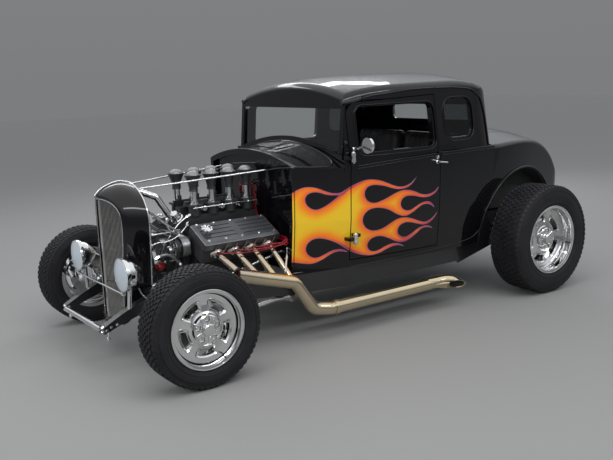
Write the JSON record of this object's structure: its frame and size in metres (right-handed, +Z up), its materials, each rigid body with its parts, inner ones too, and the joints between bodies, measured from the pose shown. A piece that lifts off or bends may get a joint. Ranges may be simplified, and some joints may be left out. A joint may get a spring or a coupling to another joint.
{
  "type": "hot rod",
  "caption": "Full-size open-engined hot rod coupe: steering, rolling wheels, opening doors and boot lid, ram stacks, side pipes and a narrow V grille.",
  "frame": {"origin": "centre of the ground footprint of the overall box, on the ground plane", "axes": "+X forward, +Y to the car's left, +Z up"},
  "size_m": [3.652, 1.756, 1.5438],
  "materials": {
    "body_paint": "deep gloss black enamel",
    "frame_paint": "gloss black frame enamel",
    "glass": "clear flat glass",
    "chrome": "bright plating",
    "polished": "polished cast alloy",
    "tyre": "black road rubber",
    "engine": "dark painted iron",
    "covers": "dark grooved cast covers",
    "stack_black": "satin black",
    "wire_screen": "grey woven wire",
    "exhaust": "polished with a warm heat tint",
    "mesh": "fine grey-brown grille bars",
    "radiator": "dull core",
    "lens": "pale frosted glass",
    "red_lens": "red ribbed glass",
    "seat": "padded hide",
    "cap": "dark red moulded cap",
    "hose": "black hose",
    "wheel_rim": "black grip"
  },
  "bodies": {
    "chassis": {"cabin_floor": "body_paint", "cowl": "body_paint", "dashboard": "body_paint", "distributor": "cap", "drive_belt": "hose", "engine": "engine", "exhausts": "exhaust", "firewall": "body_paint", "frame": "frame_paint", "front_axle": "chrome", "front_drive": "polished", "front_suspension": "chrome", "fuel_tank": "engine", "gearbox": "polished", "glass": "glass", "grille": "mesh", "grille_shell": "body_paint", "headlamp_lenses": "lens", "headlamps": "chrome", "quarter_left": "body_paint", "quarter_right": "body_paint", "radiator": "radiator", "radiator_hose": "chrome", "ram_manifold": "polished", "rear_axle": "engine", "rear_panels": "body_paint", "rear_suspension": "chrome", "roof": "body_paint", "screen_frame": "body_paint", "seat": "seat", "shell_trim": "chrome", "sills": "body_paint", "spreader_bars": "chrome", "stack_horns": "stack_black", "stack_screens": "wire_screen", "stack_tubes": "polished", "stay_rods": "chrome", "steering_column": "chrome", "tail_lamps": "red_lens", "valve_covers": "covers"},
    "knuckle_left": {"knuckle_left": "chrome"},
    "knuckle_right": {"knuckle_right": "chrome"},
    "tie_rod": {"tie_rod": "chrome"},
    "wheel_front_left": {"wheel_front_left": "polished", "tyre_front_left": "tyre", "brake_disc_left": "polished"},
    "wheel_front_right": {"wheel_front_right": "polished", "tyre_front_right": "tyre", "brake_disc_right": "polished"},
    "wheel_rear_left": {"wheel_rear_left": "polished", "tyre_rear_left": "tyre"},
    "wheel_rear_right": {"wheel_rear_right": "polished", "tyre_rear_right": "tyre"},
    "door_left": {"door_left": "body_paint", "door_handle_left": "chrome", "door_mirror": "chrome"},
    "door_right": {"door_right": "body_paint", "door_handle_right": "chrome"},
    "deck_lid": {"deck_lid": "body_paint"},
    "steering_wheel": {"steering_wheel": "wheel_rim"}
  },
  "joints": [
    {"name": "steer_left", "type": "hinge", "parent": "chassis", "child": "knuckle_left", "pos_m": [1.474, 0.655, 0.315], "axis": [0, 0, 1], "range_deg": [-26, 26]},
    {"name": "steer_right", "type": "hinge", "parent": "chassis", "child": "knuckle_right", "pos_m": [1.474, -0.655, 0.315], "axis": [0, 0, 1], "range_deg": [-26, 26]},
    {"name": "tie_rod_pin", "type": "hinge", "parent": "knuckle_left", "child": "tie_rod", "pos_m": [1.344, 0.655, 0.287], "axis": [0, 0, 1], "range_deg": [-26, 26]},
    {"name": "spin_front_left", "type": "hinge", "parent": "knuckle_left", "child": "wheel_front_left", "pos_m": [1.474, 0.78, 0.315], "axis": [0, 1, 0], "continuous": true},
    {"name": "spin_front_right", "type": "hinge", "parent": "knuckle_right", "child": "wheel_front_right", "pos_m": [1.474, -0.78, 0.315], "axis": [0, 1, 0], "continuous": true},
    {"name": "spin_rear_left", "type": "hinge", "parent": "chassis", "child": "wheel_rear_left", "pos_m": [-1.218, 0.74, 0.375], "axis": [0, 1, 0], "continuous": true},
    {"name": "spin_rear_right", "type": "hinge", "parent": "chassis", "child": "wheel_rear_right", "pos_m": [-1.218, -0.74, 0.375], "axis": [0, 1, 0], "continuous": true},
    {"name": "steering_wheel_turn", "type": "hinge", "parent": "chassis", "child": "steering_wheel", "pos_m": [-0.006, 0.3, 0.935], "axis": [-0.848, 0, 0.5299], "range_deg": [-208, 208]},
    {"name": "door_left_hinge", "type": "hinge", "parent": "chassis", "child": "door_left", "pos_m": [0.3315, 0.622, 0.9], "axis": [0, 0, -1], "range_deg": [0, 60]},
    {"name": "door_right_hinge", "type": "hinge", "parent": "chassis", "child": "door_right", "pos_m": [0.3315, -0.622, 0.9], "axis": [0, 0, 1], "range_deg": [0, 60]},
    {"name": "deck_lid_hinge", "type": "hinge", "parent": "chassis", "child": "deck_lid", "pos_m": [-0.9685, 0, 1.14], "axis": [0, 1, 0], "range_deg": [0, 50]}
  ],
  "couplings": [
    {"joint": "steer_right", "follows": "steer_left", "ratio": 1},
    {"joint": "tie_rod_pin", "follows": "steer_left", "ratio": -1},
    {"joint": "steering_wheel_turn", "follows": "steer_left", "ratio": 8}
  ]
}
